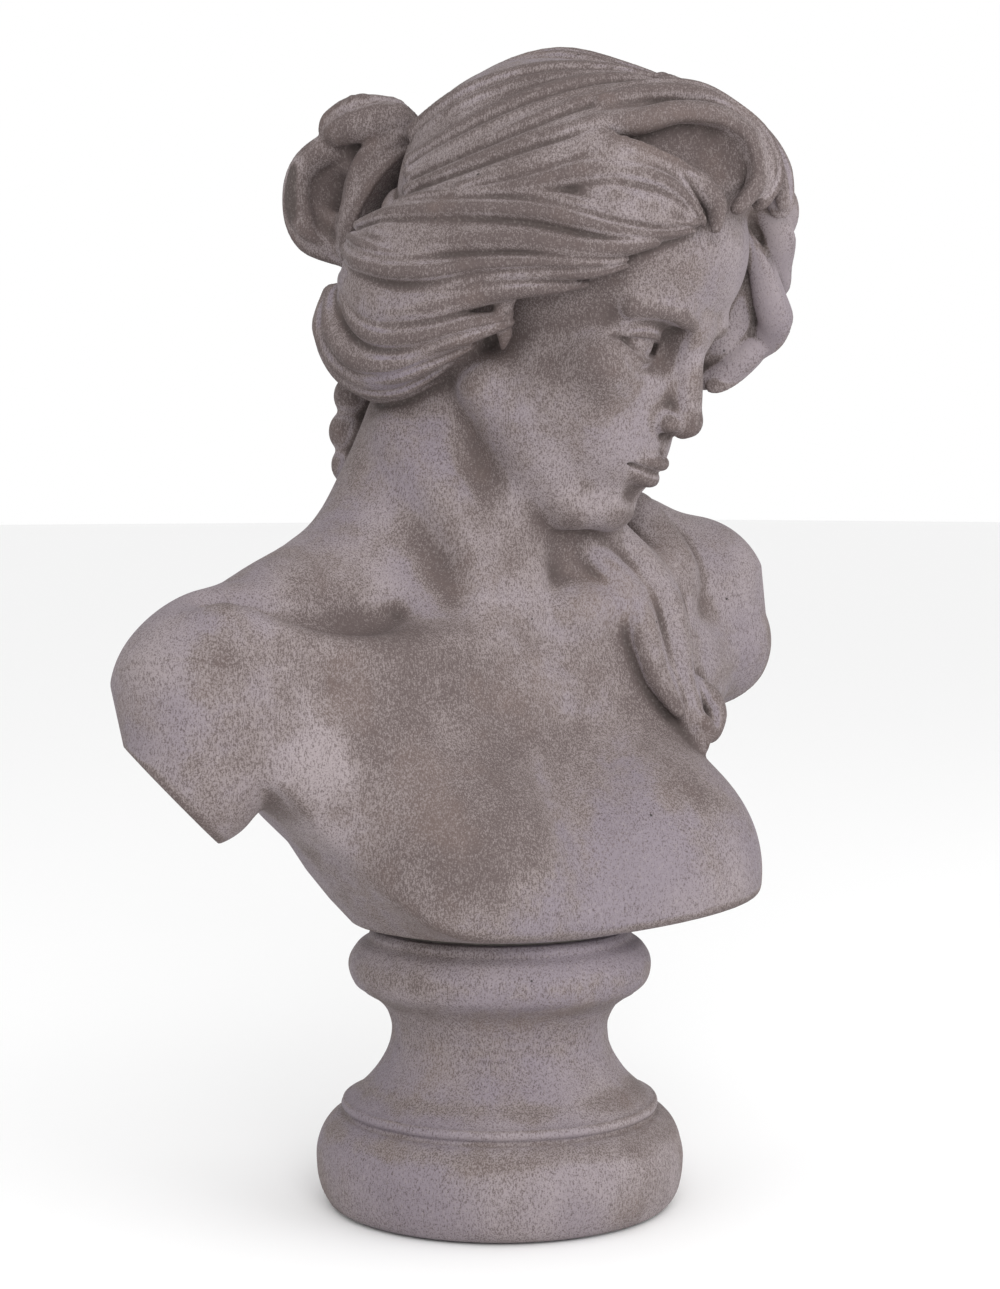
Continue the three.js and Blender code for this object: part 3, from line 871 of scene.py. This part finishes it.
def carve_crown():
    """Flat locks drawn back over the skull, side by side, to where the hair is tied."""
    block.add(head_oval((0, 11, 40), (82, 94, 82)), 5)
    near = [
        [(-10, -30, 129), (-30, 2, 124), (-52, 36, 107), (-60, 68, 80), (-48, 94, 52)],
        [(-20, -32, 126), (-38, -12, 121), (-59, 3, 109), (-75, 22, 89), (-77, 50, 61), (-62, 80, 34)],
        [(-34, -36, 119), (-52, -24, 111), (-70, -10, 98), (-84, 8, 76), (-84, 38, 48), (-70, 70, 24)],
        [(-52, -36, 107), (-68, -27, 96), (-83, -14, 78), (-90, 6, 58), (-88, 32, 36), (-76, 64, 14)],
    ]
    for number, path in enumerate(near):
        add_lock(path, (8, 11, 13, 13, 12, 9), (5, 7, 8, 8, 8, 6), 2, 3.2, 0.7 - 0.4 * number, lift=-0.5)
    add_lock([(6, -30, 129), (2, 8, 129), (-8, 50, 121), (-12, 84, 93), (-4, 106, 54)], (9, 14, 15, 14, 10),
             (6, 8, 8, 8, 6), 3, 3.0, 0.5, lift=-0.5)
    far = [
        [(18, -34, 127), (34, 4, 121), (42, 46, 107), (40, 80, 79), (24, 104, 42)],
        [(34, -40, 119), (58, -8, 107), (70, 26, 90), (68, 62, 60), (50, 92, 28)],
        [(50, -46, 108), (74, -22, 91), (85, 12, 70), (85, 46, 44), (68, 82, 18)],
    ]
    for number, path in enumerate(far):
        add_lock(path, (10, 15, 15, 13, 9), (6, 8, 8, 8, 6), 2, 3.2, 0.5 + 0.3 * number, lift=-0.5)


def carve_front_curl():
    """The high curl over the brow: a band that rises from the crown and turns in over a hollow."""
    block.add(sweep([(-60, -30, 76), (-38, -46, 86), (-4, -56, 98), (30, -56, 96)],
                    (20, 22, 25, 22), HEAD), 8)
    block.add(sweep([(-72, -34, 57), (-68, -46, 60), (-58, -60, 63), (-48, -70, 65)],
                    (8, 11, 11, 8), HEAD), 6)
    block.cut(sweep([(-66, -28, 90), (-50, -46, 100), (-32, -66, 106), (-22, -86, 98)],
                    (6, 13, 17, 14), HEAD), 3)
    rim = [(-84, -2, 77), (-75, -18, 93), (-59, -33, 106), (-40, -44, 119), (-20, -59, 126), (-8, -77, 121),
           (-6, -92, 102), (-20, -93, 82)]
    add_lock(rim, (4, 8, 8, 8, 9, 9, 8, 4), (4, 7, 7, 6, 6, 6, 6, 4), 1, 1.4, 0.2, middle=(-22, -46, 84))
    band = [(-62, -10, 107), (-38, -22, 123), (-14, -37, 133), (0, -55, 132), (6, -76, 125),
            (6, -94, 108), (0, -96, 90)]
    add_lock(band, (8, 11, 12, 13, 12, 10, 6), (6, 7, 8, 9, 9, 8, 5), 2, 2.4, -0.5, middle=(-4, -40, 84))
    top = [(-14, -18, 131), (10, -38, 132), (28, -62, 127), (36, -82, 114), (38, -93, 96)]
    add_lock(top, (9, 12, 14, 13, 8), (6, 8, 10, 10, 7), 2, 2.4, 0.5, middle=(0, -30, 84))
    add_lock([(-50, -56, 84), (-40, -72, 88), (-33, -86, 82), (-36, -92, 70)], (8, 9, 7, 3), (6, 7, 6, 3),
             1, 1.2, 0, middle=(-20, -50, 70), fillet=3)


def carve_side_waves():
    """The waves drawn back from the brow and temple over the hidden ear, one above the other."""
    block.add(sweep([(-48, -60, 60), (-66, -36, 42), (-72, 4, 22), (-66, 46, 0)],
                    (12, 15, 16, 15), HEAD), 6)
    ridge = [(-93, 26, 33), (-93, 5, 46), (-91, -12, 57), (-84, -31, 72), (-71, -52, 80), (-58, -70, 80),
             (-46, -86, 71)]
    add_lock(ridge, (6, 10, 12, 14, 14, 11, 4), (5, 8, 10, 11, 11, 9, 4), 2, 2.8, 0.6)
    upper = [(-50, -84, 64), (-62, -74, 57), (-78, -57, 50), (-91, -26, 43), (-96, 6, 31), (-94, 40, 15),
             (-85, 66, 2), (-68, 88, -10)]
    add_lock(upper, (4, 8, 11, 12, 12, 12, 11, 8), (4, 8, 10, 11, 11, 10, 9, 7), 2, 3.0, -0.8)
    middle = [(-60, -74, 50), (-72, -66, 43), (-84, -48, 33), (-94, -19, 25), (-98, 8, 13), (-97, 37, -1),
              (-90, 62, -12), (-72, 84, -20)]
    add_lock(middle, (4, 7, 9, 10, 11, 11, 11, 8), (4, 7, 9, 10, 10, 10, 9, 7), 1, 2.6, 0.4)
    low = [(-66, -66, 34), (-79, -56, 25), (-89, -31, 14), (-96, -5, 1), (-100, 18, -13), (-98, 43, -22),
           (-90, 68, -25), (-72, 88, -22)]
    add_lock(low, (4, 7, 9, 10, 12, 12, 12, 8), (4, 7, 9, 10, 11, 10, 9, 7), 2, 2.8, 0.6)
    temple = [(-70, -52, 16), (-80, -42, 8), (-87, -24, -2), (-92, -4, -15), (-97, 12, -29), (-96, 34, -41),
              (-89, 56, -43), (-74, 78, -34)]
    add_lock(temple, (3, 5, 7, 9, 10, 11, 11, 8), (3, 5, 7, 8, 9, 9, 9, 7), 1, 1.6, 0.3)
    add_lock([(-83, -18, -6), (-78, -18, -18), (-71, -21, -27), (-64, -20, -33)], (7, 6, 5, 2),
             (6, 5, 4, 2), 1, 1.0, 0, fillet=1.6)
    block.add(head_oval((-58, 42, -32), (30, 44, 40)), 8)
    lobe = [
        [(-79, -24, -18), (-89, -8, -32), (-94, 12, -47), (-93, 36, -56), (-86, 60, -52), (-72, 82, -36)],
        [(-78, -8, -39), (-85, 8, -57), (-87, 26, -71), (-82, 50, -77), (-74, 76, -68), (-62, 92, -50)],
        [(-68, 4, -54), (-74, 20, -76), (-73, 42, -86), (-66, 68, -85), (-56, 92, -72), (-46, 102, -52)],
        [(-54, 8, -58), (-58, 26, -80), (-54, 46, -90), (-46, 70, -88), (-36, 94, -74)],
    ]
    for number, path in enumerate(lobe):
        add_lock(path, (5, 10, 12, 13, 12, 8), (5, 8, 10, 10, 9, 7), 2, 2.2, 0.7 - 0.5 * number,
                 middle=(-40, 44, -30))


def carve_far_waves():
    """The same wreath of waves down the other side of the face, and round to the back."""
    block.add(sweep([(30, -56, 94), (54, -62, 78), (64, -68, 46), (66, -70, 14), (62, -62, -6)],
                    (18, 20, 20, 20, 13), HEAD), 6)
    block.cut(sweep([(50, -100, 44), (60, -104, 28), (62, -98, 12)], (6, 10, 6), HEAD), 3)
    waves = [
        [(14, -62, 120), (30, -74, 110), (52, -85, 102), (70, -85, 88), (84, -74, 70),
         (92, -42, 54), (90, 0, 42)],
        [(22, -72, 98), (38, -82, 92), (54, -93, 84), (70, -93, 68), (84, -90, 52), (94, -60, 34),
         (94, -16, 24), (87, 26, 10)],
        [(30, -74, 76), (46, -88, 66), (60, -98, 54), (74, -107, 38), (87, -96, 20), (96, -58, 8),
         (94, -12, -2), (85, 32, -14)],
        [(52, -72, -20), (60, -84, -14), (68, -94, -3), (78, -98, 12), (88, -82, 4), (94, -40, -12),
         (90, 4, -24), (77, 44, -34)],
        [(58, -50, -20), (66, -52, -28), (74, -44, -34), (80, -22, -38), (78, 4, -46), (67, 42, -52)],
    ]
    block.add(sweep([(60, -72, -6), (68, -84, 6), (76, -91, 20), (86, -84, 26), (92, -62, 20)],
                    (5, 7, 8, 9, 7), HEAD), 2.5)
    for number, path in enumerate(waves):
        add_lock(path, (4, 8, 12, 12, 12, 12, 8), (4, 7, 10, 11, 11, 10, 7), 2, 2.4,
                 0.7 - 0.5 * (number % 3))
    block.add(head_oval((56, 36, -36), (28, 44, 34)), 8)


def carve_back_hair():
    """The hair of the nape, gathered up in broad locks under the knot."""
    for side in (-1, 1):
        for number, height in enumerate((-62, -36, -8)):
            path = [(66 * side, 40 + 10 * number, height - 6), (52 * side, 74 + 4 * number, height),
                    (26 * side, 94 + 3 * number, height + 10), (4 * side, 100, height + 24)]
            add_lock(path, (12, 15, 15, 10), (8, 10, 10, 7), 2, 2.0, 0.4 * side, fillet=1.6)


def carve_tresses():
    """One loose tress down the left shoulder on to the breast, and a short one on the nape."""
    block.add(oval((50, 10, 324), (24, 20, 22)), 12)
    block.add(sweep([(92, 34, 344), (104, 18, 334), (110, 6, 318), (110, -2, 298), (100, -10, 272)],
                    (12, 14, 13, 12, 8)), 12)
    block.add(sweep([(66, 4, 322), (84, -4, 304), (90, -12, 284), (88, -20, 262)], (14, 14, 12, 8)), 10)
    front = [(66, -4, 336), (84, -15, 316), (94, -24, 296), (95, -31, 276), (92, -37, 256), (95, -40, 239),
             (99, -42, 221)]
    add_lock(front, (9, 11, 12, 12, 11, 9, 4), (7, 9, 10, 10, 10, 9, 5), 1, 1.2, 0.3, middle=(60, 60, 270),
             place=BODY, lift=2, fillet=3)
    inner = [(48, -10, 324), (63, -19, 309), (72, -27, 291), (74, -33, 274), (76, -38, 257), (83, -41, 238)]
    add_lock(inner, (7, 9, 10, 10, 8, 3), (5, 7, 8, 8, 7, 3), 1, 1.0, 0.3, middle=(50, 60, 270), place=BODY,
             lift=1, fillet=4)
    outer = [(84, 34, 360), (100, 17, 348), (109, 3, 331), (114, -8, 312), (113, -16, 293), (107, -24, 270),
             (103, -30, 250)]
    add_lock(outer, (8, 11, 13, 12, 10, 8, 5), (6, 9, 10, 9, 8, 7, 4), 2, 1.6, 0.4, middle=(70, 60, 270),
             place=BODY, lift=1, fillet=3)
    block.add(sweep([(100, -30, 250), (109, -33, 243), (111, -35, 235), (105, -38, 227), (99, -40, 231)],
                    (6, 7, 7, 6, 5)), 3)
    for x, y, z, radius in ((-12, 99, 396, 12), (-13, 102, 378, 12), (-12, 103, 361, 11),
                            (-10, 105, 345, 10)):
        block.add(oval((x, y, z), (radius, radius, radius)), 3)


def under_edge(x, y, z):
    """Positive below the bust's underside: a skirt in front, and a cup that rises behind."""
    reach = np.sqrt(x * x + y * y) + 1e-3
    cup = np.interp(reach, (60, 73, 84, 95, 104, 116, 135, 170, 230),
                    (137, 139, 151, 165, 179, 191, 212, 250, 290))
    front = np.interp(reach, (60, 74, 130, 200), (136, 139, 147.5, 160))
    share = np.clip(((0.3 * x - 0.95 * y) / reach + 0.3) / 0.8, 0, 1)
    share = share * share * (3 - 2 * share)
    return ((cup + (front - cup) * share - z) * 0.8).astype(np.float32)


def upright_bar(radius, top):
    """Positive inside a round bar that stands on the turning axis up to a height."""
    return lambda x, y, z: np.minimum(radius - np.sqrt(x ** 2 + y ** 2), top - z)


carve_trunk()
block.cut_where(under_edge, 4)
carve_shoulders()
carve_neck()
carve_head()
carve_eyes()
carve_nose_and_mouth()
carve_crown()
carve_front_curl()
carve_side_waves()
carve_far_waves()
carve_back_hair()
carve_tresses()
block.cut_where(upright_bar(SEAT_RADIUS, seat_height), 0.6)
block.cut_where(upright_bar(BORE_RADIUS, BORE_TOP), 0.6)

# Stain and painted light: positive spots add brown wash, partly real stain and partly painted shade at the
# neck, under the jaw and under the chest; negative spots thin it, as painted highlights on the breast, the
# right shoulder and the base of the neck, and as painted light on the far hair.
bust = block.carve_mesh("bust_stone", [
    ((-86, -44, 206), 26, 0.7),
    ((-58, -66, 200), 30, 0.9),
    ((-40, -74, 190), 18, 0.6),
    ((-62, -38, 258), 36, 0.6),
    ((-10, -60, 256), 38, 0.7),
    ((57, -73, 208), 26, 0.6),
    ((118, -51, 160), 16, 0.8),
    ((-80, -40, 150), 18, 0.7),
    ((-160, 0, 274), 20, 0.6),
    ((-85, 6, 280), 20, 0.8),
    ((-25, 6, 312), 14, 0.7),
    ((10, 6, 318), 12, 0.7),
    ((10, -44, 396), 22, 0.7),
    ((44, -52, 350), 14, 0.7),
    ((-40, 60, 424), 26, 0.8),
    ((-34, -22, 472), 30, 0.6),
    ((8, -41, 539), 26, 0.6),
    ((40, -60, 500), 22, 0.5),
    ((160, 30, 270), 26, 0.6),
    ((123, -70, 478), 36, -1.2),
    ((128, -55, 430), 36, -1.2),
    ((19, -76, 173), 34, -0.6),
    ((-169, -1, 258), 20, -0.35),
    ((-120, -19, 228), 12, -0.35),
    ((-52, 18, 307), 16, -0.5),
    ((-71, -47, 206), 22, 0.4),
    ((-69, -60, 185), 24, 0.4),
    ((-96, -36, 173), 16, 0.6),
    ((-60, 48, 332), 16, 0.6),
    ((-70, -30, 240), 64, 0.45),
    ((-40, -50, 240), 70, 0.4),
    ((-70, -70, 215), 40, 0.4),
    ((30, -50, 420), 60, 0.3),
    ((20, 10, 510), 76, 0.35),
])
bust.data.materials.append(stone_material("bust_stone", 1.18))
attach(bust, "root")
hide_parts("bust")

# ---- hair knot ----
# A coil of twisted locks at the back of the head, carved from its own small block because it
# stands clear of the head. It is seated on a flat with a steel pin and a skim of adhesive.
knot_low, knot_high = (np.array(corner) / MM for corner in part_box("hair_knot"))
block = Block(knot_low - MARGIN, knot_high + MARGIN, PITCH)


def carve_knot():
    """A loop with a hollow side, an upper coil laid over it, and locks that close the far side."""
    block.add(head_oval((-6, 110, 4), (34, 20, 42)), 4)
    block.add(head_oval((-14, 132, 2), (16, 24, 30)), 6)
    loop = [(-14, 124, 40), (-24, 148, 33), (-29, 162, 14), (-29, 164, -6), (-27, 154, -27),
            (-22, 138, -38), (-14, 114, -36)]
    add_lock(loop, (9, 12, 13, 13, 13, 12, 9), (8, 11, 12, 12, 12, 11, 9), 2, 2.2, 0.8,
             middle=(-18, 126, 2), fillet=3)
    block.cut(sweep([(-48, 134, 4), (-34, 134, 2), (-24, 130, 0)], (14, 12, 9), HEAD), 6)
    top = [(-2, 110, 52), (-16, 119, 60), (-32, 130, 57), (-41, 142, 47), (-40, 151, 36)]
    add_lock(top, (12, 15, 16, 15, 10), (10, 13, 14, 13, 9), 2, 2.4, 0.6, middle=(-14, 118, 20), fillet=3)
    back = [(10, 112, 50), (14, 130, 52), (10, 146, 44), (0, 158, 30)]
    add_lock(back, (12, 15, 14, 9), (10, 13, 12, 8), 2, 2.4, -0.5, middle=(0, 116, 10), fillet=3)
    inner = [(0, 124, 34), (6, 146, 24), (8, 156, 2), (6, 148, -20), (0, 126, -34)]
    add_lock(inner, (9, 13, 14, 13, 9), (8, 12, 13, 12, 8), 2, 2.2, -0.6, middle=(0, 116, 0), fillet=3)
    add_lock([(-30, 112, 44), (-38, 120, 28), (-40, 120, 8), (-34, 114, -14)], (7, 9, 8, 6), (6, 8, 8, 6),
             1, 1.8, 0.4, middle=(-6, 112, 10), fillet=3)


def behind_seat(x, y, z):
    """Positive on the head's side of the flat that the knot sits on."""
    x, y, z = HEAD.into(x, y, z)
    return 105.0 - y - 0.1 * (z - 8)


carve_knot()
block.cut_where(behind_seat, 0.6)
knot = block.carve_mesh("knot_stone", [
    (HEAD.out((-24, 134, 2)), 26, 0.6),
    (HEAD.out((-20, 116, 20)), 24, 0.8),
])
knot.data.materials.append(bust.data.materials[0])
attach(knot, "root")
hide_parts("hair_knot")

# ---- knot pin ----
# A short plain pin of stainless rod, bonded with resin into a hole in the head and one in the
# knot, so that the knot can't slide off its seat. None of it shows.
wear("hair_knot_pin", stainless)
